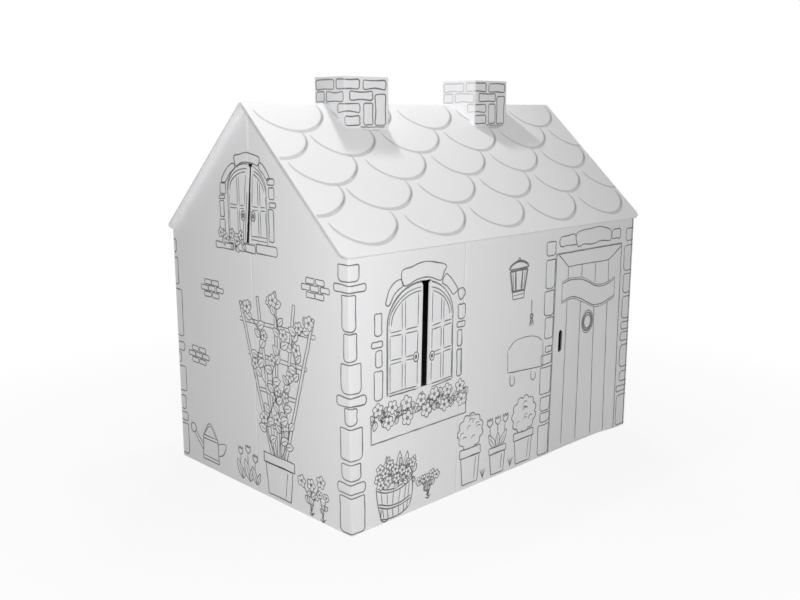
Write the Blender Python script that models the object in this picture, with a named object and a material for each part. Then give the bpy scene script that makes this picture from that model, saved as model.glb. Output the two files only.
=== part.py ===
"""A child-size play house of corrugated cardboard.

Two wall sheets, each folded round a corner, stand in a ring. A folded roof sheet
rests on them, and two chimney tubes straddle its ridge with tabs through slots.
Metres, +Z up. The front wall with the door faces -Y and the gable with the window
faces -X. The origin is on the floor below the middle of the roof.

Every sheet is modelled as it is made: a flat blank is cut out and scored, and is
then folded along a path that its printed face follows.
"""

import math

import bmesh
import bpy
from mathutils import Matrix, Vector

# Walls and roof, over their outer faces
HOUSE_LENGTH = 1.170
HOUSE_WIDTH = 0.748
EAVE_HEIGHT = 0.672
ROOF_RISE = 0.3415
EAVE_OVERHANG = 0.006
GABLE_OVERHANG = 0.0235
ROOF_CORNER = 0.025
WALLS_OFFSET = -0.0045

# Board, folds and cuts
BOARD = 0.004
FIT_GAP = 0.0003
FOLD_RADIUS = 0.001
RIDGE_RADIUS = 0.008
GLUE_FLAP = 0.040
FLAP_SLANT = 0.035
KERF = 0.0012
CREASE_WIDTH = 0.007
CREASE_DEPTH = 0.0009

# Creases that let the walls fold up flat, from the nearer corner of the house
LEFT_PANEL = 0.395
RIGHT_PANEL = 0.410
CREASE_LEAN = 0.026

# Front door, from the right-hand corner and the eave
DOOR_INSET = 0.0613
DOOR_WIDTH = 0.3337
DOOR_HEAD_DROP = 0.074
HAND_SLOT_INSET = 0.040
HAND_SLOT_HEIGHT = 0.337
HAND_SLOT_SIZE = (0.018, 0.068)

# Sag of the thin front wall: its foot sways in beside the door, and the door bows
WALL_SWAY = 0.008
DOOR_BOW = 0.0135

# Front window, from the left-hand corner and the eave
WINDOW_INSET = 0.237
WINDOW_WIDTH = 0.225
WINDOW_HEAD_DROP = 0.082
WINDOW_ARCH = 0.098
WINDOW_HEIGHT = 0.268
WINDOW_SLIT = 0.0238
WINDOW_SLIT_OFFSET = 0.0137
WINDOW_SLIT_LEAN = 0.0048

# Gable window, from the middle of the gable and the ridge
GABLE_WINDOW_OFFSET = 0.014
GABLE_WINDOW_WIDTH = 0.158
GABLE_HEAD_DROP = 0.148
GABLE_WINDOW_ARCH = 0.070
GABLE_WINDOW_HEIGHT = 0.200
GABLE_SLIT = 0.0105
GABLE_SLIT_SPREAD = 0.0040
GABLE_SLIT_OFFSET = 0.019
GABLE_SLIT_LEAN = 0.022

# Finger notch at the head of a shutter slit
NOTCH_SPREAD = 0.008
NOTCH_DROP = 0.010

# Chimneys: size, how far they clear the ridge, and the tabs that hold them
CHIMNEY_WIDTH = 0.150
CHIMNEY_DEPTH = 0.128
CHIMNEY_CLEARS_RIDGE = 0.0675
CHIMNEY_FLAP = 0.025
LEFT_CHIMNEY_X = -0.2589
LEFT_CHIMNEY_Y = -0.0145
RIGHT_CHIMNEY_X = 0.2382
RIGHT_CHIMNEY_Y = -0.0128
CHIMNEYS = {
    "chimney_left": (LEFT_CHIMNEY_X, LEFT_CHIMNEY_Y, -3.0),
    "chimney_right": (RIGHT_CHIMNEY_X, RIGHT_CHIMNEY_Y, 2.0),
}
TAB_WIDTH = 0.060
TAB_LENGTH = 0.034
SLOT_CLEARANCE = 0.0006

# How finely curves are drawn
FOLD_STRIPS = 5
RIDGE_STRIPS = 8
ARCH_STEPS = 20
SLOT_STEPS = 6
DOOR_STRIPS = 8
SAG_ROWS = 5

# Colours as seen in the photograph, then roughness
BOARD_WHITE = (0.84, 0.84, 0.85)
BOARD_ROUGHNESS = 0.62

RIGHT_ANGLE = math.pi / 2
OUTER_FOLD = FOLD_RADIUS + BOARD
CORNER_ARC = OUTER_FOLD * RIGHT_ANGLE
LAP = BOARD + FIT_GAP
REACH = 0.02


class FoldPath:
    """The printed face of a folded sheet, seen along its folds: runs and left-hand folds."""

    def __init__(self, start, heading):
        self.end = Vector(start)
        self.heading = heading
        self.length = 0.0
        self.pieces = []
        self.creases = []

    def run(self, length):
        self.pieces.append((self.length, self.end.copy(), self.heading, 0.0))
        self.end += length * Vector((math.cos(self.heading), math.sin(self.heading)))
        self.length += length
        return self

    def fold(self, angle, radius, strips=FOLD_STRIPS):
        self.pieces.append((self.length, self.end.copy(), self.heading, radius))
        self.creases += [self.length + radius * angle * i / strips for i in range(strips + 1)]
        inward = Vector((-math.sin(self.heading), math.cos(self.heading)))
        centre = self.end + radius * inward
        self.heading += angle
        self.end = centre + radius * Vector((math.sin(self.heading), -math.cos(self.heading)))
        self.length += radius * angle
        return self

    def place(self, along, depth):
        """The point that lies `along` the printed face and `depth` behind it."""
        begin, start, heading, radius = self.pieces[0]
        for piece in self.pieces:
            if along >= piece[0]:
                begin, start, heading, radius = piece
        ahead = Vector((math.cos(heading), math.sin(heading)))
        inward = Vector((-ahead.y, ahead.x))
        if radius == 0.0:
            return start + (along - begin) * ahead + depth * inward
        turn = (along - begin) / radius
        outward = math.sin(turn) * ahead - math.cos(turn) * inward
        return start + radius * inward + (radius - depth) * outward


def link(name, mesh, collection):
    item = bpy.data.objects.new(name, mesh)
    collection.objects.link(item)
    return item


def slab(outline, low, high):
    """A mesh of a flat outline in X and Z that reaches from y = low to y = high."""
    curve = bpy.data.curves.new("outline", "CURVE")
    curve.dimensions = "2D"
    curve.fill_mode = "BOTH"
    curve.extrude = (high - low) / 2
    spline = curve.splines.new("POLY")
    spline.points.add(len(outline) - 1)
    for point, (x, z) in zip(spline.points, outline):
        point.co = (x, z, 0.0, 1.0)
    spline.use_cyclic_u = True
    flat = link("outline", curve, bpy.context.scene.collection)
    solid = bpy.data.meshes.new_from_object(flat.evaluated_get(bpy.context.evaluated_depsgraph_get()))
    bpy.data.objects.remove(flat)
    solid.transform(Matrix.Translation((0, (low + high) / 2, 0)) @ Matrix.Rotation(RIGHT_ANGLE, 4, "X"))
    edit = bmesh.new()
    edit.from_mesh(solid)
    bmesh.ops.remove_doubles(edit, verts=edit.verts, dist=1e-6)
    bmesh.ops.recalc_face_normals(edit, faces=edit.faces)
    edit.to_mesh(solid)
    edit.free()
    return solid


def through(outline):
    """A cutter that goes right through a flat blank."""
    return slab(outline, -REACH, BOARD + REACH)


def ribbon(points, width):
    """The outline of a narrow cut along a line, with mitred corners."""
    left, right = [], []
    last = len(points) - 1
    for i, (x, z) in enumerate(points):
        before = Vector(points[max(i - 1, 0)])
        after = Vector(points[min(i + 1, last)])
        here = Vector((x, z))
        ahead = (after - here).normalized() if i < last else (here - before).normalized()
        behind = (here - before).normalized() if i > 0 else ahead
        along = (ahead + behind).normalized()
        side = Vector((-along.y, along.x)) * (width / 2) / max(along.dot(ahead), 0.2)
        left.append(tuple(here + side))
        right.append(tuple(here - side))
    return left + right[::-1]


def arch(centre, half_width, spring, rise):
    """Points over an elliptical arch, from its left spring to its right one."""
    turns = [math.pi * (1 - i / ARCH_STEPS) for i in range(ARCH_STEPS + 1)]
    return [(centre + half_width * math.cos(t), spring + rise * math.sin(t)) for t in turns]


def round_slot(x, z, width, height):
    """An upright slot with round ends, centred on x and z."""
    radius = width / 2
    straight = height / 2 - radius
    points = []
    for end in (0, 1):
        middle = z + straight * (1 - 2 * end)
        for i in range(SLOT_STEPS + 1):
            turn = math.pi * (end + i / SLOT_STEPS)
            points.append((x + radius * math.cos(turn), middle + radius * math.sin(turn)))
    return points


def score(start, end):
    """A cutter that presses a shallow crease into the printed face, from one point to another."""
    start, end = Vector(start), Vector(end)
    span = end - start
    edit = bmesh.new()
    bmesh.ops.create_cone(edit, cap_ends=True, segments=4, radius1=1.0, radius2=1.0, depth=1.0)
    middle = (start + end) / 2
    turn = Matrix.Rotation(math.atan2(span.x, span.y), 4, "Y")
    size = Matrix.Diagonal((CREASE_WIDTH, 2 * CREASE_DEPTH, span.length, 1.0))
    place = Matrix.Translation((middle.x, -CREASE_DEPTH, middle.y))
    bmesh.ops.transform(edit, matrix=place @ turn @ size, verts=edit.verts)
    mesh = bpy.data.meshes.new("score")
    edit.to_mesh(mesh)
    edit.free()
    return mesh


def shutters(centre, half_width, sill, spring, rise, slit, spread, slit_offset, slit_lean):
    """The cuts and hinge creases of shutters under an arch. Their slit leans and spreads to its foot."""
    left, right = centre - half_width, centre + half_width
    head = spring + rise
    top = centre + slit_offset
    foot = top - slit_lean
    shoulder = head - NOTCH_DROP
    opening = [
        (foot - (slit + spread) / 2, sill),
        (foot + (slit + spread) / 2, sill),
        (top + slit / 2, shoulder),
        (top + slit / 2 + NOTCH_SPREAD, head),
        (top - slit / 2 - NOTCH_SPREAD, head),
        (top - slit / 2, shoulder),
    ]
    cuts = [
        through(ribbon(arch(centre, half_width, spring, rise), KERF)),
        through(ribbon([(left, sill), (right, sill)], KERF)),
        through(opening),
    ]
    hinges = [score((x, sill), (x, spring)) for x in (left, right)]
    return cuts + hinges


def subtract(item, meshes, cutters):
    """Cuts each mesh out of an object, in turn."""
    for i, mesh in enumerate(meshes):
        tool = link(f"{item.name}_cut_{i + 1}", mesh, cutters)
        tool.hide_render = True
        tool.display_type = "WIRE"
        cut = item.modifiers.new(tool.name, "BOOLEAN")
        cut.operation = "DIFFERENCE"
        cut.solver = "EXACT"
        cut.object = tool


def applied(item):
    """The object's mesh with its modifiers applied."""
    return bpy.data.meshes.new_from_object(item.evaluated_get(bpy.context.evaluated_depsgraph_get()))


def fold_up(item, path, to_world, columns=(), rows=(), sag=None):
    """Folds a flat blank along a path. Columns and rows are extra lines where it may bend."""
    mesh = applied(item)
    item.modifiers.clear()
    edit = bmesh.new()
    edit.from_mesh(mesh)
    bmesh.ops.triangulate(edit, faces=edit.faces)
    lines = [((along, 0, 0), (1, 0, 0)) for along in list(path.creases) + list(columns)]
    lines += [((0, 0, height), (0, 0, 1)) for height in rows]
    for point, normal in lines:
        geometry = edit.verts[:] + edit.edges[:] + edit.faces[:]
        bmesh.ops.bisect_plane(edit, geom=geometry, dist=1e-6, plane_co=point, plane_no=normal)
    bmesh.ops.triangulate(edit, faces=edit.faces)
    for vertex in edit.verts:
        along, depth, across = vertex.co
        point = to_world(path.place(along, depth), across)
        vertex.co = point + sag(along, point) if sag else point
    bmesh.ops.recalc_face_normals(edit, faces=edit.faces)
    edit.to_mesh(mesh)
    edit.free()
    item.data = mesh


def upright(point, height):
    return Vector((point.x, point.y, height))


def roof_path():
    """The roof's upper face in Y and Z, from the back eave over the ridge to the front."""
    reach = HOUSE_WIDTH / 2 + EAVE_OVERHANG
    radius = RIDGE_RADIUS + BOARD
    rise = ROOF_RISE - radius
    slope = math.atan2(rise, reach) + math.asin(radius / math.hypot(rise, reach))
    length = math.sqrt(rise**2 + reach**2 - radius**2)
    path = FoldPath((reach, EAVE_HEIGHT), math.pi - slope)
    return path.run(length).fold(2 * slope, radius, RIDGE_STRIPS).run(length)


def roof_height(y, depth):
    """Height at y of a face `depth` below the roof's upper face, level across the ridge fold."""
    path = roof_path()
    crease = path.place(path.creases[0], depth)
    eave = path.place(0.0, depth)
    share = (abs(y) - crease.x) / (eave.x - crease.x)
    return crease.y + (eave.y - crease.y) * max(share, 0.0)


def wall_top(y):
    """Height of a wall's top edge at y, just under the roof sheet."""
    return roof_height(y, BOARD + FIT_GAP)


def wall_blank(name, collection):
    """A flat wall sheet: a gable, a long wall and a glue flap, with its fold path."""
    gable = HOUSE_WIDTH - OUTER_FOLD
    wall = HOUSE_LENGTH - LAP - 2 * OUTER_FOLD
    wall_start = gable + CORNER_ARC
    wall_end = wall_start + wall
    path = FoldPath((-HOUSE_LENGTH / 2, HOUSE_WIDTH / 2), -RIGHT_ANGLE)
    path.run(gable).fold(RIGHT_ANGLE, OUTER_FOLD).run(wall).fold(RIGHT_ANGLE, OUTER_FOLD).run(GLUE_FLAP)
    ridge = roof_path()
    peak = ridge.place(ridge.creases[0], BOARD).x
    middle = HOUSE_WIDTH / 2
    eave = wall_top(middle)
    outline = [
        (0.0, 0.0),
        (path.length, 0.0),
        (path.length, eave - FLAP_SLANT),
        (wall_end + CORNER_ARC, eave - BOARD),
        (wall_end, eave),
    ]
    for i in range(FOLD_STRIPS, -1, -1):
        turn = RIGHT_ANGLE * i / FOLD_STRIPS
        outline.append((gable + OUTER_FOLD * turn, wall_top(middle - OUTER_FOLD * (1 - math.sin(turn)))))
    outline += [(middle + peak, wall_top(peak)), (middle - peak, wall_top(peak)), (0.0, eave)]
    sheet = link(name, slab(outline, 0.0, BOARD), collection)
    ridge_crease = score((middle, -REACH), (middle, wall_top(0.0) + REACH))
    first = wall_start - OUTER_FOLD + LEFT_PANEL
    second = wall_start - OUTER_FOLD + HOUSE_LENGTH - RIGHT_PANEL
    creases = [
        ridge_crease,
        score((first - CREASE_LEAN, -REACH), (first, eave + REACH)),
        score((second, -REACH), (second, eave + REACH)),
    ]
    return sheet, path, wall_start, creases


def front_wall(collection, cutters):
    """The left gable and the front wall, with the door and both windows cut in."""
    sheet, path, wall_start, creases = wall_blank("front_wall", collection)
    left_corner = wall_start - OUTER_FOLD
    hinge = left_corner + HOUSE_LENGTH - DOOR_INSET
    latch = hinge - DOOR_WIDTH
    head = EAVE_HEIGHT - DOOR_HEAD_DROP
    window_head = EAVE_HEIGHT - WINDOW_HEAD_DROP
    gable_head = EAVE_HEIGHT + ROOF_RISE - GABLE_HEAD_DROP
    door = [
        through(ribbon([(latch, -REACH), (latch, head), (hinge, head)], KERF)),
        through(round_slot(latch + HAND_SLOT_INSET, HAND_SLOT_HEIGHT, *HAND_SLOT_SIZE)),
        score((hinge, -REACH), (hinge, head)),
    ]
    front_window = shutters(
        left_corner + WINDOW_INSET,
        WINDOW_WIDTH / 2,
        window_head - WINDOW_HEIGHT,
        window_head - WINDOW_ARCH,
        WINDOW_ARCH,
        WINDOW_SLIT,
        0.0,
        WINDOW_SLIT_OFFSET,
        WINDOW_SLIT_LEAN,
    )
    gable_window = shutters(
        HOUSE_WIDTH / 2 - GABLE_WINDOW_OFFSET,
        GABLE_WINDOW_WIDTH / 2,
        gable_head - GABLE_WINDOW_HEIGHT,
        gable_head - GABLE_WINDOW_ARCH,
        GABLE_WINDOW_ARCH,
        GABLE_SLIT,
        GABLE_SLIT_SPREAD,
        GABLE_SLIT_OFFSET,
        GABLE_SLIT_LEAN,
    )
    subtract(sheet, creases + door + front_window + gable_window, cutters)
    eave = wall_top(HOUSE_WIDTH / 2)

    def sag(along, point):
        """How far the front wall sways and its door bows into the house."""
        if along < wall_start or along > hinge:
            return Vector((0, 0, 0))
        before_door = min((along - wall_start) / (latch - wall_start), 1.0)
        across_door = max((along - latch) / DOOR_WIDTH, 0.0)
        sway = WALL_SWAY * before_door * (1 - across_door)
        if across_door > 0 and point.z < head:
            inward = (sway + DOOR_BOW * math.sin(math.pi * across_door)) * (1 - point.z / head)
        else:
            inward = sway * (1 - point.z / eave)
        return Vector((0, inward, 0))

    columns = [latch + DOOR_WIDTH * i / DOOR_STRIPS for i in range(DOOR_STRIPS + 1)]
    rows = [head * i / SAG_ROWS for i in range(1, SAG_ROWS + 1)]
    fold_up(sheet, path, upright, columns, rows, sag)
    sheet.location.x = WALLS_OFFSET
    return sheet


def back_wall(collection, cutters):
    """The right gable and the back wall, folded as the front sheet is and turned half round."""
    sheet, path, wall_start, creases = wall_blank("back_wall", collection)
    subtract(sheet, creases, cutters)
    fold_up(sheet, path, lambda point, height: upright(-point, height))
    sheet.location.x = WALLS_OFFSET
    return sheet


def chimney_path():
    """Fold path of a chimney tube in plan, about its own middle, ending in the glue flap."""
    width = CHIMNEY_WIDTH - 2 * OUTER_FOLD
    depth = CHIMNEY_DEPTH - 2 * OUTER_FOLD
    path = FoldPath((-CHIMNEY_WIDTH / 2, CHIMNEY_DEPTH / 2), -RIGHT_ANGLE)
    for length in (depth + OUTER_FOLD, width, depth, width - LAP):
        path.run(length).fold(RIGHT_ANGLE, OUTER_FOLD)
    return path.run(CHIMNEY_FLAP)


def tab_boxes(name, width, thickness):
    """Upright boxes round the two tabs of a chimney, each centred on the roof's upper face."""
    x, y, turn = CHIMNEYS[name]
    place = Matrix.Translation((x, y, 0)) @ Matrix.Rotation(math.radians(turn), 4, "Z")
    meshes = []
    for side in (-1, 1):
        wall = side * (CHIMNEY_DEPTH - BOARD) / 2
        middle = Matrix.Translation((0, wall, roof_height(y + wall, 0.0)))
        size = Matrix.Diagonal((width, thickness, 2 * TAB_LENGTH, 1.0))
        edit = bmesh.new()
        bmesh.ops.create_cube(edit, size=1.0)
        bmesh.ops.transform(edit, matrix=place @ middle @ size, verts=edit.verts)
        mesh = bpy.data.meshes.new("tab")
        edit.to_mesh(mesh)
        edit.free()
        meshes.append(mesh)
    return meshes


def roof_envelope():
    """The space below the roof's upper face, which the chimneys are notched to."""
    path = roof_path()
    outline = [tuple(path.place(along, -FIT_GAP)) for along in [0.0, *path.creases, path.length]]
    low = EAVE_HEIGHT / 2
    outline += [(outline[-1][0], low), (outline[0][0], low)]
    mesh = slab(outline, -HOUSE_LENGTH / 2, HOUSE_LENGTH / 2)
    mesh.transform(Matrix.Rotation(RIGHT_ANGLE, 4, "Z"))
    return mesh


def roof(collection, cutters):
    """One sheet with round corners, folded over the ridge and slotted for the chimney tabs."""
    path = roof_path()
    half = HOUSE_LENGTH / 2 + GABLE_OVERHANG
    corners = [(path.length, half), (0.0, half), (0.0, -half), (path.length, -half)]
    outline = []
    for quarter, (along, across) in enumerate(corners):
        centre_along = along - math.copysign(ROOF_CORNER, along - path.length / 2)
        centre_across = across - math.copysign(ROOF_CORNER, across)
        for i in range(SLOT_STEPS + 1):
            turn = RIGHT_ANGLE * (quarter + i / SLOT_STEPS)
            x = centre_along + ROOF_CORNER * math.cos(turn)
            outline.append((x, centre_across + ROOF_CORNER * math.sin(turn)))
    sheet = link("roof", slab(outline, 0.0, BOARD), collection)
    fold_up(sheet, path, lambda point, across: Vector((across, point.x, point.y)))
    slots = []
    for name in CHIMNEYS:
        slots += tab_boxes(name, TAB_WIDTH + 2 * SLOT_CLEARANCE, BOARD + 2 * SLOT_CLEARANCE)
    subtract(sheet, slots, cutters)
    return sheet


def chimney(name, collection, cutters):
    """A square tube of board, notched over the ridge, with a tab below two of its walls."""
    x, y, turn = CHIMNEYS[name]
    top = EAVE_HEIGHT + ROOF_RISE + CHIMNEY_CLEARS_RIDGE
    foot = roof_height(abs(y) + CHIMNEY_DEPTH / 2, 0.0) - 2 * TAB_LENGTH
    path = chimney_path()
    outline = [
        (0.0, foot),
        (path.length, foot),
        (path.length, top - BOARD),
        (path.length - CHIMNEY_FLAP, top),
        (0.0, top),
    ]
    tube = link(name, slab(outline, 0.0, BOARD), collection)
    fold_up(tube, path, upright)
    tube.location = (x, y, 0)
    tube.rotation_euler = (0, 0, math.radians(turn))
    subtract(tube, [roof_envelope()], cutters)
    envelope = tube.modifiers[0].object
    subtract(envelope, tab_boxes(name, TAB_WIDTH, 4 * BOARD), cutters)
    return tube


def cardboard(name):
    """White-faced corrugated board."""
    material = bpy.data.materials.new(name)
    material.use_nodes = True
    shader = material.node_tree.nodes["Principled BSDF"]
    shader.inputs["Base Color"].default_value = (*BOARD_WHITE, 1.0)
    shader.inputs["Roughness"].default_value = BOARD_ROUGHNESS
    shader.inputs["Metallic"].default_value = 0.0
    return material


def main():
    for item in list(bpy.data.objects):
        bpy.data.objects.remove(item)
    parts = bpy.data.collections.new("play_house")
    cutters = bpy.data.collections.new("cutters")
    for collection in (parts, cutters):
        bpy.context.scene.collection.children.link(collection)
    sheets = [front_wall(parts, cutters), back_wall(parts, cutters), roof(parts, cutters)]
    sheets += [chimney(name, parts, cutters) for name in CHIMNEYS]
    for sheet in sheets:
        sheet.data.materials.clear()
        sheet.data.materials.append(cardboard(f"{sheet.name}_board"))


main()
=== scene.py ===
import math
import random
from itertools import groupby

import bpy
from mathutils import Matrix, Vector, noise
from mathutils.bvhtree import BVHTree


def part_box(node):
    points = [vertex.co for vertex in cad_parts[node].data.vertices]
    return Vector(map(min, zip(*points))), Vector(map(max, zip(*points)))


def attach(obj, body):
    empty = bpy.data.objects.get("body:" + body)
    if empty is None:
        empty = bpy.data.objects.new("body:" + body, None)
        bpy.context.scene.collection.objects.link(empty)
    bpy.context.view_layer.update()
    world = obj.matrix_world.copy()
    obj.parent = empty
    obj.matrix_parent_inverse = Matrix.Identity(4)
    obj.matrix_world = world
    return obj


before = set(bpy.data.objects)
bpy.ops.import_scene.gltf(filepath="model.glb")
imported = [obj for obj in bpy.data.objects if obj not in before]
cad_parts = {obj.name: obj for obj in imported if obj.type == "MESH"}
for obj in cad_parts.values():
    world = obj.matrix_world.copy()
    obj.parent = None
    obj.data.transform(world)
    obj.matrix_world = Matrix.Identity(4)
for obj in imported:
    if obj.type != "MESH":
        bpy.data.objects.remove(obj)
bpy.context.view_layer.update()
bpy.context.scene.view_settings.view_transform = "Standard"
noise.seed_set(7)  # without a seed, the printed lines sway in another way each run
print("frame loaded:", ", ".join(sorted(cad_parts)))


# Shader sums written as plain Python
class Socket:
    def __init__(self, nodes, output):
        self.nodes = nodes
        self.output = output

    def math(self, operation, *others):
        return self.nodes.math(operation, self, *others)

    def __add__(self, other):
        return self.math("ADD", other)

    def __radd__(self, other):
        return self.math("ADD", other)

    def __sub__(self, other):
        return self.math("SUBTRACT", other)

    def __rsub__(self, other):
        return self.nodes.math("SUBTRACT", other, self)

    def __mul__(self, other):
        return self.math("MULTIPLY", other)

    def __rmul__(self, other):
        return self.math("MULTIPLY", other)

    def __truediv__(self, other):
        return self.math("DIVIDE", other)

    def __rtruediv__(self, other):
        return self.nodes.math("DIVIDE", other, self)

    def __abs__(self):
        return self.math("ABSOLUTE")

    def above(self, level):
        return self.math("GREATER_THAN", level)

    def below(self, level):
        return self.math("LESS_THAN", level)

    def clamped(self):
        return self.math("MAXIMUM", 0.0).math("MINIMUM", 1.0)

    def wave(self, pitch):
        return (self * (2 * math.pi / pitch)).math("SINE") * 0.5 + 0.5


class NodeTree:
    # the nodes of a material or of the world
    def __init__(self, tree):
        self.tree = tree

    def plug(self, entry, value):
        if isinstance(value, Socket):
            self.tree.links.new(value.output, entry)
        elif isinstance(value, tuple):
            entry.default_value = (*value, 1.0)[:len(entry.default_value)]
        else:
            entry.default_value = value

    def node(self, kind, settings=None, values=None, output=0):
        node = self.tree.nodes.new("ShaderNode" + kind)
        for name, value in (settings or {}).items():
            setattr(node, name, value)
        for name, value in (values or {}).items():
            self.plug(node.inputs[name], value)
        return Socket(self, node.outputs[output])

    def math(self, operation, *terms):
        return self.node("Math", {"operation": operation}, dict(enumerate(terms)))

    def axes(self, vector):
        split = self.node("SeparateXYZ", None, {0: vector}).output.node
        return [Socket(self, output) for output in split.outputs]

    def seen(self):
        # 1 for what the camera sees, straight, in gloss or through glass, and 0 for light
        rays = ("Camera", "Glossy", "Transmission")
        camera, glossy, through = (self.node("LightPath", output=f"Is {ray} Ray") for ray in rays)
        return (camera + glossy + through).math("MINIMUM", 1.0)


class Finish(NodeTree):
    # a material with one Principled shader
    def __init__(self, name):
        self.material = bpy.data.materials.new(name)
        self.material.use_nodes = True
        super().__init__(self.material.node_tree)
        self.shader = self.tree.nodes["Principled BSDF"]

    def place(self):
        return self.node("TexCoord", output="Object")

    def facing(self):
        return self.axes(self.node("NewGeometry", output="Normal"))

    def noise(self, scale, detail=2.0, roughness=0.5):
        values = {"Vector": self.place(), "Scale": scale, "Detail": detail, "Roughness": roughness}
        return self.node("TexNoise", None, values)

    def blend(self, share, first, second):
        return self.node("Mix", {"data_type": "RGBA"}, {0: share, 6: first, 7: second}, output=2)

    def bump(self, height, distance):
        return self.node("Bump", None, {"Height": height, "Distance": distance, "Strength": 1.0})

    def set(self, **looks):
        for name, value in looks.items():
            self.plug(self.shader.inputs[name.replace("_", " ")], value)
        return self.material


def addObject(name, data):
    thing = bpy.data.objects.new(name, data)
    bpy.context.scene.collection.objects.link(thing)
    return thing


# The house, measured off the frame
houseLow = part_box("front_wall")[0]
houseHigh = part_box("back_wall")[1]
roofLow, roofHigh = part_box("roof")
house = {
    "left": houseLow.x,
    "front": houseLow.y,
    "length": houseHigh.x - houseLow.x,
    "width": houseHigh.y - houseLow.y,
}
chimneys = {
    # litSideTone is the pale ink painted on each chimney's left face as painted light
    "chimney_left": {"yaw": -3.0, "litSideTone": 0.28, "seed": 300},
    "chimney_right": {"yaw": 2.0, "litSideTone": 0.58, "seed": 350},
}
chimneySize = (0.150, 0.128)


def skin(*names):
    # the outer surface of some nodes, to lay the print on
    points, faces = [], []
    for name in names:
        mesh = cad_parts[name].data
        start = len(points)
        points += [vertex.co.copy() for vertex in mesh.vertices]
        faces += [[start + i for i in face.vertices] for face in mesh.polygons]
    return BVHTree.FromPolygons(points, faces)


def roundRing(size, along):
    # a point on a rectangle's outline, from its front left corner to the right
    width, depth = size
    along %= 2 * (width + depth)
    if along < width:
        return along, 0.0
    if along < width + depth:
        return width, along - width
    if along < 2 * width + depth:
        return 2 * width + depth - along, depth
    return 0.0, 2 * (width + depth) - along


def onWalls(along, height):
    x, y = roundRing((house["length"], house["width"]), along)
    return Vector((house["left"] + x, house["front"] + y, height))


def onChimney(name):
    low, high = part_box(name)
    middle = (low + high) / 2
    turn = Matrix.Rotation(math.radians(chimneys[name]["yaw"]), 3, "Z")

    def place(along, height):
        x, y = roundRing(chimneySize, along)
        spot = turn @ Vector((x - chimneySize[0] / 2, y - chimneySize[1] / 2, 0))
        return Vector((middle.x + spot.x, middle.y + spot.y, height))

    return place


wallSkin = skin("front_wall", "back_wall")
roofSkin = skin("roof")
slopeSpot, slopeNormal = roofSkin.ray_cast(Vector((0, roofLow.y / 2, 2)), Vector((0, 0, -1)))[:2]
slope = math.acos(slopeNormal.z)
apex = slopeSpot.z - slopeSpot.y * math.tan(slope)


def onRoof(along, down):
    # down is the distance from the ridge, and is negative on the back slope
    y = -down * math.cos(slope)
    return Vector((along, y, apex - abs(down) * math.sin(slope)))


# Finishes: printed ink and white-faced corrugated board
inkLooks = {
    "grain": 700.0,
    "patches": 35.0,
    "wear": 0.42,
    "contrast": 3.0,
    "litSideFacing": -0.6,
    "roughness": (0.45, 0.2),  # least, and what the grain adds
    "bump": 0.0001,
}
boardLooks = {
    "white": (0.84, 0.84, 0.85),
    "shade": (0.80, 0.80, 0.81),
    # tone of the painted shade on the rounded upright folds
    "paintedFoldShade": (0.70, 0.70, 0.70),
    # tone of the painted shade on the inward faces
    "insideShade": (0.22, 0.22, 0.215),
    "coreTint": (1.0, 0.987, 0.968),
    "hollowShadeTint": (1.0, 0.975, 0.942),
    "clouds": 5.0,
    "fibres": 420.0,
    "flute": 0.0078,
    "tone": (1.4, 0.5, 0.10),  # what clouds, fibres and flutes add
    "relief": (0.4, 0.3, 0.12),
    "fold": (3.0, 0.3),
    "insideShadeReach": 0.05,
    "comb": (0.62, 0.8),
    "roughness": (0.53, 0.10, 0.25),  # least, and what fibres and cut edges add
    "bump": 0.0004,
    "cutFacing": 0.6,
}


def grey(level):
    return (level, level, level)


def makeInkFinish(name, dark=0.14, worn=0.31, litSideTone=None):
    # litSideTone is a pale ink tone painted on faces that look left, as painted light where the lamp washes
    # out the print
    looks = inkLooks
    finish = Finish(name)
    grain = finish.noise(looks["grain"])
    patches = finish.noise(looks["patches"], 3.0)
    share = (grain * 0.5 + patches * 0.5 - looks["wear"]) * looks["contrast"]
    tone = finish.blend(share.clamped(), grey(dark), grey(worn))
    if litSideTone:
        # painted light: on faces that look left the ink is painted pale
        litSide = finish.facing()[0].below(looks["litSideFacing"])
        tone = finish.blend(litSide, tone, grey(litSideTone))
    least, grainy = looks["roughness"]
    return finish.set(
        Base_Color=tone,
        Roughness=grain * grainy + least,
        Normal=finish.bump(grain, looks["bump"]),
    )


def fibreNoise(finish):
    return finish.noise(boardLooks["fibres"], 3.0, 0.6)


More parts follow.
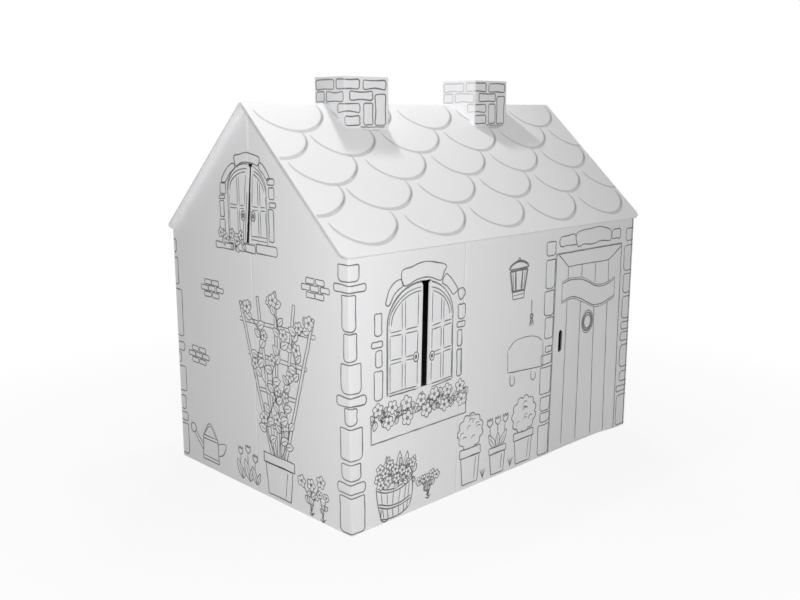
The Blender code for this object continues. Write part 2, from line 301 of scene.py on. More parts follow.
def makeBoardFinish(name, cutEdge, shadedInside=False, cut=(0.78, 0.60)):
    # cutEdge tells cut edges from printed faces, shadedInside paints the inward faces dark grey as painted
    # shade of the dim inside, and cut holds the tones of a cut edge, on its liners and in its flutes, where
    # the darker tone is painted shade in the open flute hollows
    looks = boardLooks
    finish = Finish(name)
    x, y = finish.axes(finish.place())[:2]
    facing = finish.facing()
    facingX, facingY = facing[:2]
    clouds = finish.noise(looks["clouds"], 4.0)
    fibres = fibreNoise(finish)
    flutes = (x + y).wave(looks["flute"])

    cloudy, fibrous, fluted = looks["tone"]
    share = (clouds - 0.5) * cloudy + (fibres - 0.5) * fibrous + flutes * fluted
    face = finish.blend(share.clamped(), looks["white"], looks["shade"])
    # painted shade: faces on the rounded upright folds are darkened to tone down the highlight the lamps put
    # there
    sharp, start = looks["fold"]
    fold = abs(facingX * facingY) * sharp - start
    face = finish.blend(fold.clamped(), face, looks["paintedFoldShade"])
    # painted shade: the inward faces are painted dark grey, so the inside looks dim through the openings
    if shadedInside:
        outward = facingX * x + facingY * y + looks["insideShadeReach"]
        face = finish.blend(outward.below(0.0), face, looks["insideShade"])

    core = tuple(cut[0] * part for part in looks["coreTint"])
    # the flute tone is the medium's own warm tint, darkened as painted shade in the open hollows between the
    # flutes
    hollowShade = tuple(cut[1] * part for part in looks["hollowShadeTint"])
    level, strength = looks["comb"]
    rim = finish.blend(flutes.above(level) * strength, core, hollowShade)
    mask = cutEdge(facing)
    cloudy, fibrous, fluted = looks["relief"]
    height = fibres * fibrous + flutes * fluted + clouds * cloudy
    least, fibrous, rough = looks["roughness"]
    return finish.set(
        Base_Color=finish.blend(mask, face, rim),
        Roughness=fibres * fibrous + least + mask * rough,
        Normal=finish.bump(height, looks["bump"]),
    )


def wallEdge(facing):
    # top and bottom cuts of upright sheets
    return abs(facing[2]).above(boardLooks["cutFacing"])


def roofEdge(facing):
    # the rim of the folded roof, whose faces all lean by the slope
    outward = abs(facing[1]) * math.sin(slope) + abs(facing[2]) * math.cos(slope)
    return 1.0 - outward.above(boardLooks["cutFacing"])


wallInk = makeInkFinish("wall_ink")
roofInk = makeInkFinish("roof_ink", dark=0.56, worn=0.65)
accentInk = makeInkFinish("accent_ink", dark=0.25, worn=0.38)
boards = {
    "front_wall": makeBoardFinish("wall_board_front", wallEdge, shadedInside=True),
    "back_wall": makeBoardFinish("wall_board_back", wallEdge, shadedInside=True),
    "roof": makeBoardFinish("roof_board", roofEdge, cut=(0.87, 0.78)),
    "chimney_left": makeBoardFinish("chimney_board_left", wallEdge),
    "chimney_right": makeBoardFinish("chimney_board_right", wallEdge),
}
for name, board in boards.items():
    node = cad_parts[name]
    node.data.materials.clear()
    node.data.materials.append(board)
print("board finishes made")


# Ink: lines become thin ribbons of faces just off the board
ink = {
    "hair": 0.0020,
    "light": 0.00256,
    "thin": 0.0025,
    "fine": 0.00288,
    "line": 0.0032,
    "firm": 0.00352,
    "bold": 0.0045,
    "lift": 0.00025,
    "step": 0.003,
    "dotSides": 12,
}
pen = {
    "sway": 0.0014,
    "swell": 0.35,
    "scale": 30,
    "nextLine": 7.3,
    "swellApart": 3,
    "tip": 0.35,  # width at a line's end, and what each step from it adds
    "growth": 0.22,
}


def onRun(before, start, end, after, t):
    # a number between start and end, on a smooth run through all four
    rise = end - before
    bow = 2 * before - 5 * start + 4 * end - after
    twist = 3 * start - before - 3 * end + after
    return 0.5 * (2 * start + rise * t + bow * t * t + twist * t**3)


def bend(points, closed=False, steps=8):
    # a smooth line through some points
    count = len(points)
    if count < 3:
        return list(points)
    out = []
    spans = count if closed else count - 1
    for i in range(spans):
        if closed:
            a, b, c, d = (points[(i + k) % count] for k in (-1, 0, 1, 2))
        else:
            b, c = points[i], points[i + 1]
            a = points[i - 1] if i > 0 else (2 * b[0] - c[0], 2 * b[1] - c[1])
            d = points[i + 2] if i + 2 < count else (2 * c[0] - b[0], 2 * c[1] - b[1])
        for k in range(steps):
            out.append(tuple(onRun(*numbers, k / steps) for numbers in zip(a, b, c, d)))
    if not closed:
        out.append(tuple(points[-1]))
    return out


def evenly(points, closed, step):
    # the same line with its points one step apart
    line = list(points) + ([points[0]] if closed else [])
    spans = [math.dist(a, b) for a, b in zip(line, line[1:])]
    total = sum(spans)
    count = max(2, math.ceil(total / step))
    out, i, passed = [], 0, 0.0
    for k in range(count + (0 if closed else 1)):
        target = total * k / count
        while i < len(spans) - 1 and passed + spans[i] < target:
            passed += spans[i]
            i += 1
        share = (target - passed) / spans[i] if spans[i] else 0.0
        share = min(share, 1.0)
        out.append(tuple(p + (q - p) * share for p, q in zip(line[i], line[i + 1])))
    return out


def inside(point, outline):
    x, y = point
    hit = False
    for (ax, ay), (bx, by) in zip(outline, outline[1:] + outline[:1]):
        if (ay > y) != (by > y) and x < ax + (bx - ax) * (y - ay) / (by - ay):
            hit = not hit
    return hit


class Print:
    # the ink on one sheet; a shape drawn with a cover hides what was drawn before it
    def __init__(self, name, surface=wallSkin, place=onWalls, material=wallInk, slot="ink", lift=ink["lift"]):
        self.name = name
        self.surface = surface
        self.place = place
        self.material = material
        self.slot = slot
        self.lift = lift
        self.lines = []
        self.covers = []
        self.dots = []
        self.points = []
        self.faces = []

    def line(self, points, width=ink["line"], closed=False, cover=False, taper=True, wobble=1.0):
        points = [tuple(point) for point in points]
        if cover:
            xs, ys = zip(*points)
            self.covers.append((len(self.lines), points, (min(xs), max(xs), min(ys), max(ys))))
        self.lines.append((points, width, closed, taper, wobble))

    def curve(self, points, width=ink["line"], closed=False):
        self.line(bend(points, closed), width, closed)

    def dot(self, centre, radius, squash=1.0):
        # it lies on the last line, and what covers that line covers it
        self.dots.append((len(self.lines) - 1, centre, radius, squash))

    def hidden(self, point, order):
        x, y = point
        for since, outline, (left, right, low, high) in self.covers:
            if since > order and left < x < right and low < y < high and inside(point, outline):
                return True
        return False

    def spot(self, point):
        near, normal = self.surface.find_nearest(self.place(*point))[:2]
        return near + normal * self.lift

    def strip(self, stroke, closed):
        # a ribbon along a stroke, which is a list of points and widths
        start = len(self.points)
        count = len(stroke)
        for i, ((x, y), width) in enumerate(stroke):
            if closed:
                before, after = stroke[i - 1][0], stroke[(i + 1) % count][0]
            else:
                before, after = stroke[max(i - 1, 0)][0], stroke[min(i + 1, count - 1)][0]
            run = Vector((after[0] - before[0], after[1] - before[1])).normalized()
            half = width / 2
            self.points.append(self.spot((x - run.y * half, y + run.x * half)))
            self.points.append(self.spot((x + run.y * half, y - run.x * half)))
        for i in range(count if closed else count - 1):
            a, b = start + 2 * i, start + 2 * ((i + 1) % count)
            self.faces.append((a, a + 1, b + 1, b))

    def strips(self, stroke, least=2, closed=False):
        # one ribbon for each part of a stroke that shows; hidden points are None
        for shown, part in groupby(stroke, bool):
            part = list(part)
            if shown and len(part) >= least:
                self.strip(part, closed)

    def fill(self, centre, radius, squash):
        start = len(self.points)
        sides = ink["dotSides"]
        rim = oval(centre, radius, radius * squash, count=sides)
        self.points += [self.spot(point) for point in (centre, *rim)]
        for i in range(sides):
            self.faces.append((start, start + 1 + i, start + 1 + (i + 1) % sides))

    def draw(self):
        # a hand-held pen: lines sway a little, swell and thin, and taper at their ends
        for order, centre, radius, squash in self.dots:
            if not self.hidden(centre, order):
                self.fill(centre, radius, squash)
        for order, (points, width, closed, taper, wobble) in enumerate(self.lines):
            path = evenly(points, closed, ink["step"])
            seed = pen["nextLine"] * order
            sway = pen["sway"] * wobble
            stroke = []
            for i, (x, y) in enumerate(path):
                here = (x * pen["scale"], y * pen["scale"])
                shift = noise.noise_vector(Vector((*here, seed)))
                swell = 1.0 + pen["swell"] * noise.noise(Vector((*here, seed + pen["swellApart"])))
                ends = 1.0
                if taper and not closed:
                    ends = min(1.0, pen["tip"] + pen["growth"] * min(i, len(path) - 1 - i))
                swayed = (x + sway * shift.x, y + sway * shift.y)
                stroke.append(None if self.hidden((x, y), order) else (swayed, width * swell * ends))
            whole = closed and all(stroke)
            if closed and not whole:
                first = stroke.index(None)
                stroke = stroke[first:] + stroke[:first]
            self.strips(stroke, closed=whole)

    def finish(self):
        self.draw()
        mesh = bpy.data.meshes.new(self.name)
        mesh.from_pydata(self.points, [], self.faces)
        mesh.validate()
        piece = addObject(self.name, mesh)
        piece.data.materials.append(self.material)
        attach(piece, "root")
        print(f"{self.name}: {len(self.faces)} faces")


# Shapes that the print is made of
stoneLooks = {
    "slack": 0.0012,
    "slender": 0.05,
    "flat": 0.45,
    "corner": (0.7, 1.2),
    "cornerShare": 0.38,
    "cornerSteps": 3,
    "offMiddle": 0.12,
    "inward": (-0.2, 1.4),
}
blossomLooks = {
    "petals": 5,
    "steps": 8,
    "reach": (0.62, 0.38),
    "roundness": 0.7,
    "vein": (0.28, 0.58),
    "eye": 0.2,
    "dot": 0.09,
}
leafLooks = {"sides": ((0.3, 0.8), (0.65, 0.75)), "vein": 0.75}
anyTurn = (0, 6.3)


def around(centre, reach, turn):
    return (centre[0] + reach * math.cos(turn), centre[1] + reach * math.sin(turn))


def mirrored(middle, half, crown=None):
    # a line from its left half, given as distances from the middle and heights
    left = [(middle - reach, height) for reach, height in half]
    right = [(middle + reach, height) for reach, height in reversed(half)]
    return left + ([] if crown is None else [(middle, crown)]) + right


def oval(centre, wide, high, start=0.0, sweep=360.0, count=24):
    out = []
    for i in range(count + (0 if sweep == 360.0 else 1)):
        turn = math.radians(start + sweep * i / count)
        out.append((centre[0] + wide * math.cos(turn), centre[1] + high * math.sin(turn)))
    return out


def stone(left, right, bottom, top, seed=0, head=0.005, foot=0.012, waist=0.0015):
    # a cut stone: tight corners at its top, rounder ones at its foot, and long sides drawn in
    looks = stoneLooks
    chance = random.Random(seed)
    width, height = right - left, top - bottom
    middle = ((left + right) / 2, (bottom + top) / 2)
    flat = height < looks["flat"] * width
    waist *= min(1.0, abs(width - height) / looks["slender"])
    most = looks["cornerShare"]
    out = []
    for first, (sideX, sideY) in enumerate(((1, 1), (-1, 1), (-1, -1), (1, -1))):
        corner = head if sideY > 0 and not flat else foot
        size = min(corner * chance.uniform(*looks["corner"]), most * width, most * height)
        spot = (middle[0] + sideX * (width / 2 - size), middle[1] + sideY * (height / 2 - size))
        for i in range(looks["cornerSteps"] + 1):
            out.append(around(spot, size, math.pi / 2 * (first + i / looks["cornerSteps"])))
        along = chance.uniform(-looks["offMiddle"], looks["offMiddle"])
        level = first in (0, 2)
        inward = waist if level == (width > height) else looks["slack"]
        inward *= chance.uniform(*looks["inward"])
        if level:
            out.append((middle[0] + along * width, middle[1] + sideY * (height / 2 - inward)))
        else:
            out.append((middle[0] + sideX * (width / 2 - inward), middle[1] + along * height))
    return bend(out, closed=True, steps=3)


def drawStones(sheet, blocks, seed, **shape):
    for i, block in enumerate(blocks):
        sheet.line(stone(*block, seed=seed + i, **shape), closed=True)


def blossom(sheet, centre, size, chance):
    looks = blossomLooks
    petals = looks["petals"]
    count = petals * looks["steps"]
    near, more = looks["reach"]
    start = chance.uniform(*anyTurn)
    out = []
    for i in range(count):
        turn = 2 * math.pi * i / count
        reach = size * (near + more * abs(math.cos(petals * turn / 2)) ** looks["roundness"])
        out.append(around(centre, reach, turn + start))
    sheet.line(out, ink["light"], closed=True, cover=True, wobble=0.6)
    for i in range(petals):
        turn = start + 2 * math.pi * (i + 0.5) / petals
        sheet.line([around(centre, share * size, turn) for share in looks["vein"]], ink["hair"], wobble=0.3)
    eye = size * looks["eye"]
    sheet.line(oval(centre, eye, eye, count=10), ink["fine"], closed=True, wobble=0.2)
    sheet.dot(centre, size * looks["dot"])


def leaf(sheet, root, tip, fat):
    run = Vector((tip[0] - root[0], tip[1] - root[1]))
    side = Vector((-run.y, run.x)) * fat

    def spot(along, out):
        return (root[0] + run.x * along + side.x * out, root[1] + run.y * along + side.y * out)

    left = [spot(along, out) for along, out in leafLooks["sides"]]
    right = [spot(along, -out) for along, out in reversed(leafLooks["sides"])]
    outline = bend([root, *left, tip])[:-1] + bend([tip, *right, root])[:-1]
    sheet.line(outline, ink["light"], closed=True, cover=True, wobble=0.4)
    sheet.line([root, spot(leafLooks["vein"], 0.0)], ink["hair"], wobble=0.4)


def drawBed(sheet, bed, chance):
    # leaves with a berry at each root, and blossoms over them
    for _ in range(bed["leaves"]):
        x, y = chance.uniform(*bed["across"]), chance.uniform(*bed["up"])
        tip = (x + chance.uniform(*bed["lean"]), y + chance.choice(bed["rise"]))
        leaf(sheet, (x, y), tip, bed["fat"])
        sheet.dot((x, y - bed["berryDrop"]), chance.uniform(*bed["berry"]))
    for spot in bed["blossoms"]:
        blossom(sheet, spot, bed["blossom"], chance)


# Stones at the corners: left, right, bottom, top, in metres from the near corner
cornerStones = {
    "near": (
        (-0.038, 0.031, 0.615, 0.654), (-0.053, 0.052, 0.590, 0.608), (-0.026, 0.020, 0.500, 0.584),
        (-0.020, 0.022, 0.429, 0.494), (-0.031, 0.034, 0.351, 0.422), (-0.048, 0.051, 0.319, 0.343),
        (-0.019, 0.021, 0.276, 0.316), (-0.035, 0.037, 0.188, 0.266), (-0.032, 0.032, 0.138, 0.178),
        (-0.048, 0.046, 0.104, 0.129), (-0.040, 0.043, 0.004, 0.096),
    ),
    # half width, bottom, top
    "far": (
        (0.013, 0.605, 0.642), (0.017, 0.514, 0.591), (0.031, 0.365, 0.500), (0.033, 0.322, 0.348),
        (0.013, 0.285, 0.315), (0.034, 0.202, 0.276), (0.026, 0.146, 0.187), (0.034, 0.112, 0.138),
        (0.033, 0.010, 0.103),
    ),
    "right": (
        (0.040, 0.601, 0.639), (0.046, 0.508, 0.587), (0.044, 0.437, 0.497), (0.044, 0.356, 0.425),
        (0.044, 0.321, 0.345), (0.046, 0.283, 0.311), (0.044, 0.198, 0.269), (0.040, 0.151, 0.183),
        (0.054, 0.117, 0.136), (0.050, 0.006, 0.105),
    ),
    # left, bottom, top; all end at the door's edge
    "door": (
        (0.732, 0.595, 0.635), (0.733, 0.501, 0.584), (0.731, 0.423, 0.495), (0.737, 0.355, 0.417),
        (0.744, 0.315, 0.333), (0.725, 0.281, 0.309), (0.724, 0.191, 0.272), (0.729, 0.140, 0.182),
        (0.731, 0.106, 0.134), (0.724, 0.006, 0.098),
    ),
    "doorEdge": 0.774,
    "rightShape": {"head": 0.012, "foot": 0.015},
}


def drawCorners(sheet):
    length, width = house["length"], house["width"]
    far = [(-width - reach, -width + reach, *levels) for reach, *levels in cornerStones["far"]]
    door = [(left, cornerStones["doorEdge"], *levels) for left, *levels in cornerStones["door"]]
    drawStones(sheet, cornerStones["near"], 0)
    drawStones(sheet, far, 20)
    # the back corner, which is hidden, has the right one's stones
    ends = ((length, 40, cornerStones["rightShape"]), (length + width, 60, {}))
    for i, (reach, *levels) in enumerate(cornerStones["right"]):
        for middle, seed, shape in ends:
            drawStones(sheet, [(middle - reach, middle + reach, *levels)], seed + i, **shape)
    drawStones(sheet, door, 80)


corners = Print("print_corner_stones")
drawCorners(corners)
corners.finish()


# Front window, in metres from the near corner and above the floor
frontWindow = {
    "archStones": (
        ((0.167, 0.620), (0.200, 0.628), (0.234, 0.635), (0.262, 0.634), (0.319, 0.620), (0.312, 0.600),
         (0.302, 0.583), (0.270, 0.594), (0.242, 0.598), (0.212, 0.594), (0.174, 0.585)),
        ((0.164, 0.601), (0.150, 0.599), (0.137, 0.593), (0.124, 0.580), (0.117, 0.562), (0.114, 0.548),
         (0.124, 0.544), (0.132, 0.552), (0.139, 0.564), (0.154, 0.577), (0.170, 0.586)),
        ((0.320, 0.597), (0.334, 0.590), (0.348, 0.576), (0.365, 0.553), (0.356, 0.545), (0.346, 0.542),
         (0.336, 0.554), (0.324, 0.566), (0.308, 0.578)),
        ((0.366, 0.548), (0.384, 0.553), (0.393, 0.539), (0.386, 0.528), (0.374, 0.524)),
    ),
    "stones": (
        (0.078, 0.101, 0.476, 0.530), (0.067, 0.103, 0.448, 0.463), (0.081, 0.102, 0.399, 0.441),
        (0.076, 0.103, 0.318, 0.391), (0.367, 0.394, 0.473, 0.512), (0.363, 0.395, 0.452, 0.467),
        (0.366, 0.384, 0.402, 0.445), (0.365, 0.384, 0.322, 0.394),
    ),
    "stoneSeed": 100,
    "stoneShape": {"head": 0.006, "foot": 0.013},
    "bars": ((0.478, 0.468), (0.409, 0.400), (0.328, 0.320)),
    "stiles": ((0.1275, 0.168, 0.179), (0.345, 0.314, 0.305)),
    "arcs": ((0.006, 0.015), (0.014, 0.0235)),
    "edge": 0.0014,
    "knobs": ((0.2160, 0.403), (0.2725, 0.395)),
    "eye": 0.0046,
    "head": 0.590,
    "spring": 0.492,
    "halfWidth": 0.1165,
    "centre": 0.2335,
    "slitHead": (0.2388, 0.2626),
    "slitFoot": (0.2340, 0.2578),
    "slitShade": 0.0,
    # widths of the painted shade line along each shutter's cut, left and right
    "frame": (0.0044, 0.0026),
    "margins": (0.0145, 0.0120),
    "lean": 0.006,
    "sill": 0.322,
}
shutterLooks = {
    "slit": 0.004,
    "clear": 0.002,
    "under": 0.003,
    "least": 0.01,
    "overrun": 0.004,
    "knob": (0.0085, 0.0125),
    "eyeSquash": 1.3,
}


def archRise(window, down):
    return window["head"] - window["spring"] - down


def archLine(window, sideways, down):
    # the window's arch, some way inside the cut that frees its shutters
    reach = window["halfWidth"] - sideways
    return oval((window["centre"], window["spring"]), reach, archRise(window, down), 180.0, -180.0, count=40)


def archTop(window, x):
    # height of the inner arch at x
    sideways, down = window["arcs"][-1]
    share = (x - window["centre"]) / (window["halfWidth"] - sideways)
    return window["spring"] + archRise(window, down) * math.sqrt(max(0.0, 1 - share * share))


def slitEdge(window, side, height):
    # where the gap between the shutters begins, left (0) or right (1), at some height
    share = (window["head"] - height) / (window["head"] - window["sill"])
    head, foot = window["slitHead"][side], window["slitFoot"][side]
    return head + (foot - head) * share


def drawShutter(sheet, window, side):
    # one shutter: two arcs, the shade along its cut, panes, bars and a knob
    looks = shutterLooks
    out = 1 if side else -1
    outer, first, second = window["stiles"][side]
    margin = out * window["margins"][side]

    def beyondSlit(line, room):
        return [(x, y) for x, y in line if out * (x - slitEdge(window, side, y)) > room]

    def innerStile(height):
        return slitEdge(window, side, height) + margin

    for inset in window["arcs"]:
        sheet.line(beyondSlit(archLine(window, *inset), looks["slit"]), ink["fine"])
    # painted shade: a dark ink line along the cut that frees the shutter
    cut = archLine(window, window["edge"], window["edge"])
    cut = [(cut[0][0], window["sill"]), *cut, (cut[-1][0], window["sill"])]
    sheet.line(beyondSlit(cut, 0.0), window["frame"][side], taper=False, wobble=0.2)
    # painted shade: a dark ink strip along the slit's edge widens the shaded opening
    if window["slitShade"]:
        shift = out * window["slitShade"] / 2
        rim = [(slitEdge(window, side, y) + shift, y) for y in (window["sill"], window["spring"])]
        sheet.line(rim, window["slitShade"], wobble=0.1)

    # the stiles stop at each bar; None is the one along the slit
    levels = [window["bars"][-1][0]] + [y for bar in window["bars"][-2::-1] for y in reversed(bar)]
    innerTop = archTop(window, slitEdge(window, side, window["spring"]))
    for x in (outer, first, second, None):
        top = innerTop if x is None else archTop(window, x)
        ends = levels + [top - looks["under"]]
        for foot, head in zip(ends[::2], ends[1::2]):
            if head - foot > looks["least"]:
                reach = (foot + looks["clear"], head - looks["clear"])
                line = [(innerStile(y) if x is None else x, y) for y in reach]
                sheet.line(line, ink["thin"], wobble=0.7)

    lean = window["lean"] * side
    for bar in window["bars"][:-1]:
        for height in bar:
            inner = innerStile(height)
            for ends in ((outer, first), (second, inner)):
                line = [(x, height - lean * (x - outer) / (inner - outer)) for x in ends]
                sheet.line(line, ink["fine"])
    for height in window["bars"][-1]:
        line = [(outer + out * looks["overrun"], height), (innerStile(height), height - lean)]
        sheet.line(line, ink["fine"])
    knob = window["knobs"][side]
    sheet.line(oval(knob, *looks["knob"], count=14), closed=True, cover=True, wobble=0.5)
    sheet.dot(knob, window["eye"], looks["eyeSquash"])


def drawWindow(sheet, window):
    for outline in window["archStones"]:
        sheet.curve(outline, closed=True)
    drawStones(sheet, window["stones"], window["stoneSeed"], **window["stoneShape"])
    for side in (0, 1):
        drawShutter(sheet, window, side)


windowPrint = Print("print_front_window")
drawWindow(windowPrint, frontWindow)
windowPrint.finish()


# Flower box below the front window: a row of blossoms along the top and some that hang
flowerBox = {
    "outline": ((0.066, 0.266), (0.065, 0.212), (0.403, 0.216), (0.404, 0.286)),
    "leaves": 90,
    "across": (0.070, 0.399),
    "soil": 0.278,
    "up": (-0.016, 0.008),
    "lean": (-0.020, 0.020),
    "rise": (0.010, 0.024),
    "fat": 0.34,
    "berryShift": (-0.006, 0.006),
    "berry": (0.0028, 0.0046),
    "berrySquash": 0.8,
    "rows": ((0.120, 0.0670, 5, 0.255), (0.086, 0.0490, 7, 0.292)),  # start, step, count, height
    "rowShift": (-0.003, 0.003),
    "rowSway": (-0.004, 0.004),
    "blossom": 0.0185,
    "spread": (0.92, 1.08),
    "seed": 11,
}


def drawFlowerBox(sheet):
    box = flowerBox
    chance = random.Random(box["seed"])
    sheet.line(box["outline"], taper=False, wobble=0.5)
    for _ in range(box["leaves"]):
        x = chance.uniform(*box["across"])
        y = box["soil"] + chance.uniform(*box["up"])
        tip = (x + chance.uniform(*box["lean"]), y + chance.choice((-1, 1)) * chance.uniform(*box["rise"]))
        leaf(sheet, (x, y), tip, box["fat"])
        berry = (x + chance.uniform(*box["berryShift"]), y)
        sheet.dot(berry, chance.uniform(*box["berry"]), box["berrySquash"])
    for start, step, count, height in box["rows"]:
        for i in range(count):
            x = start + step * i + chance.uniform(*box["rowShift"])
            y = height + chance.uniform(*box["rowSway"])
            blossom(sheet, (x, y), box["blossom"] * chance.uniform(*box["spread"]), chance)


boxPrint = Print("print_flower_box")
drawFlowerBox(boxPrint)
boxPrint.finish()


# Door: planks, frame, dark lines along its cut, banner, knocker and the stones over it
door = {
    # lines along the door's cut: partly the printed outline, partly painted shade of the gap
    "edges": (
        ((0.779, 0.5955), (1.1075, 0.5955)),
        ((1.1085, 0.5955), (1.1095, 0.003)),
        ((0.7785, 0.5955), (0.7785, 0.003)),
    ),
    "mitre": ((0.790, 0.592), (0.837, 0.555), (1.043, 0.552), (1.106, 0.589)),
    "stiles": (((0.837, 0.555), (0.850, 0.008)), ((1.043, 0.552), (1.058, 0.004))),
    "planks": (((0.905, 0.553), (0.925, 0.006)), ((0.974, 0.552), (0.999, 0.004))),
    "plankLine": 0.00304,
    "bannerTop": ((0.812, 0.508), (0.848, 0.513), (0.898, 0.511), (0.941, 0.497), (0.983, 0.479),
                  (1.025, 0.476), (1.062, 0.484), (1.078, 0.492)),
    "bannerFoot": ((0.812, 0.455), (0.862, 0.462), (0.904, 0.451), (0.945, 0.433), (0.980, 0.421),
                   (1.020, 0.421), (1.058, 0.431), (1.081, 0.439)),
    "hem": 0.0055,
    "knocker": ((0.950, 0.374), (0.028, 0.035), (0.0175, 0.0205)),
    "ring": 0.0056,
    "lintel": (
        ((0.795, 0.642), (0.828, 0.645), (0.862, 0.647), (0.868, 0.632), (0.870, 0.616), (0.832, 0.617),
         (0.796, 0.617)),
        ((0.872, 0.648), (0.935, 0.656), (0.987, 0.658), (1.025, 0.651), (1.046, 0.640), (1.048, 0.614),
         (1.038, 0.611), (0.995, 0.615), (0.954, 0.610), (0.908, 0.613), (0.879, 0.609)),
        ((1.057, 0.641), (1.078, 0.643), (1.096, 0.641), (1.098, 0.614), (1.076, 0.615), (1.055, 0.617)),
    ),
}


def drawDoor(sheet):
    for outline in door["lintel"]:
        sheet.curve(outline, closed=True)
    sheet.line(door["mitre"], taper=False)
    for ends in door["stiles"] + door["planks"]:
        sheet.line(ends, door["plankLine"])
    # the door's cut lines are partly printed outline and partly painted shade
    for ends in door["edges"]:
        sheet.line(ends, taper=False, wobble=0.5)
    # the banner's long sides are a narrow double line
    top, foot, hem = bend(door["bannerTop"]), bend(door["bannerFoot"]), door["hem"]
    outline = [(x, y + hem) for x, y in top] + [(x, y - hem) for x, y in reversed(foot)]
    sheet.line(outline, ink["hair"], closed=True, cover=True)
    sheet.line(top)
    sheet.line(foot)
    centre, outer, inner = door["knocker"]
    sheet.line(oval(centre, *outer), closed=True, cover=True, wobble=0.8)
    middle = [(a + b) / 2 for a, b in zip(outer, inner)]
    sheet.line(oval(centre, *middle), door["ring"], closed=True, wobble=0.8)
    sheet.line(oval(centre, *inner), ink["bold"], closed=True, cover=True, wobble=0.5)


doorPrint = Print("print_door")
drawDoor(doorPrint)
doorPrint.finish()


# Lantern, bell pull and name plate between the window and the door
lantern = {
    "middle": 0.611,
    "cap": ((0.043, 0.576), (0.034, 0.586), (0.014, 0.594)),
    "crown": 0.596,
    "glass": ((0.037, 0.572), (0.026, 0.514)),
    "ribs": 0.42,
    "panes": 0.75,
    "paneInset": 0.004,
    "foot": ((0.026, 0.514), (0.024, 0.492)),
    "band": ((0.026, 0.503),),
    "finial": 0.600,
    "finialSize": (0.005, 0.005),
    "iron": 0.0066,
}
bellPull = {
    "cord": ((0.671, 0.482), (0.673, 0.440)),
    "bead": (0.673, 0.434),
    "beadSize": (0.005, 0.007),
    "threads": (-0.009, -0.003, 0.004, 0.010),
    "tassel": (0.673, 0.428, 0.404),  # x, top, end
    "gather": 0.4,
    "round": 0.2,
}
plate = {
    "outline": ((0.575, 0.288), (0.573, 0.352), (0.599, 0.372), (0.627, 0.377), (0.661, 0.378),
                (0.700, 0.370), (0.730, 0.354), (0.735, 0.278)),
    "pegs": (
        ((0.587, 0.282), (0.587, 0.255), (0.5965, 0.247), (0.606, 0.255), (0.603, 0.276)),
        ((0.680, 0.276), (0.680, 0.254), (0.6905, 0.246), (0.701, 0.254), (0.698, 0.270)),
    ),
}


def drawLantern(sheet):
    shape = lantern
    middle, iron, inset = shape["middle"], shape["iron"], shape["paneInset"]
    (wide, top), (slim, bottom) = shape["glass"]
    sheet.curve(mirrored(middle, shape["cap"], shape["crown"]), iron)
    sheet.line(mirrored(middle, shape["cap"][:1]))
    sheet.line(mirrored(middle, shape["glass"][:1]), iron, taper=False)
    sheet.line(mirrored(middle, shape["glass"]), iron, taper=False)
    for share in (-shape["ribs"], shape["ribs"]):
        sheet.line([(middle + wide * share, top), (middle + slim * share, bottom)], iron)
    for share in (-shape["panes"], shape["panes"]):
        line = [(middle + wide * share, top - inset), (middle + slim * share, bottom + inset)]
        sheet.line(line, ink["thin"])
    sheet.line(mirrored(middle, shape["foot"]), taper=False)
    sheet.line(mirrored(middle, shape["band"]), ink["thin"])
    sheet.line(oval((middle, shape["finial"]), *shape["finialSize"], count=10), closed=True, wobble=0.2)


def drawBellPull(sheet):
    shape = bellPull
    x, top, end = shape["tassel"]
    sheet.line(shape["cord"])
    bead = oval(shape["bead"], *shape["beadSize"], count=10)
    sheet.line(bead, lantern["iron"], closed=True, wobble=0.2)
    for reach in shape["threads"]:
        sheet.line([(x + reach * shape["gather"], top), (x + reach, end + abs(reach) * shape["round"])])


def drawPlate(sheet):
    outline = plate["outline"]
    sheet.line(outline[:2], ink["thin"], wobble=0.5)
    sheet.curve(outline[1:-1], ink["thin"])
    sheet.line(outline[-2:], ink["thin"], wobble=0.5)
    sheet.line([outline[0], outline[-1]])
    for peg in plate["pegs"]:
        sheet.curve(peg)


lanternPrint = Print("print_lantern_and_plate")
drawLantern(lanternPrint)
drawBellPull(lanternPrint)
drawPlate(lanternPrint)
lanternPrint.finish()


# Half barrel of flowers and the plants beside it
barrel = {
    "rim": ((0.080, 0.099), (0.110, 0.086), (0.145, 0.082), (0.180, 0.087), (0.202, 0.098)),
    "hoop": ((0.087, 0.055), (0.121, 0.042), (0.162, 0.039), (0.200, 0.048)),
    "foot": ((0.096, 0.013), (0.124, 0.006), (0.162, 0.008), (0.194, 0.020)),
    "sides": (((0.080, 0.099), (0.084, 0.068), (0.090, 0.040), (0.096, 0.013)),
              ((0.202, 0.098), (0.206, 0.070), (0.203, 0.044), (0.194, 0.020))),
    "lug": ((0.098, 0.040), (0.096, 0.016), (0.104, 0.004), (0.116, 0.004), (0.122, 0.016)),
    "band": 0.008,
    "staves": (0.14, 0.30, 0.46, 0.62, 0.78, 0.90),
    "blades": ((0.120, 0.110, -0.004), (0.158, 0.112, 0.004), (0.178, 0.106, 0.010)),  # x, y, lean
    "bladeLength": 0.062,
    "bladeFat": 0.17,
    "seed": 5,
    "bed": {
        "leaves": 34,
        "across": (0.085, 0.208),
        "up": (0.094, 0.150),
        "lean": (-0.018, 0.018),
        "rise": (-0.016, 0.020),
        "fat": 0.32,
        "berry": (0.0026, 0.0042),
        "berryDrop": 0.004,
        "blossom": 0.0135,
        "blossoms": ((0.094, 0.142), (0.128, 0.146), (0.205, 0.132), (0.088, 0.118), (0.112, 0.128),
                     (0.146, 0.130), (0.170, 0.122), (0.190, 0.112), (0.096, 0.102), (0.122, 0.106),
                     (0.150, 0.106)),
    },
}
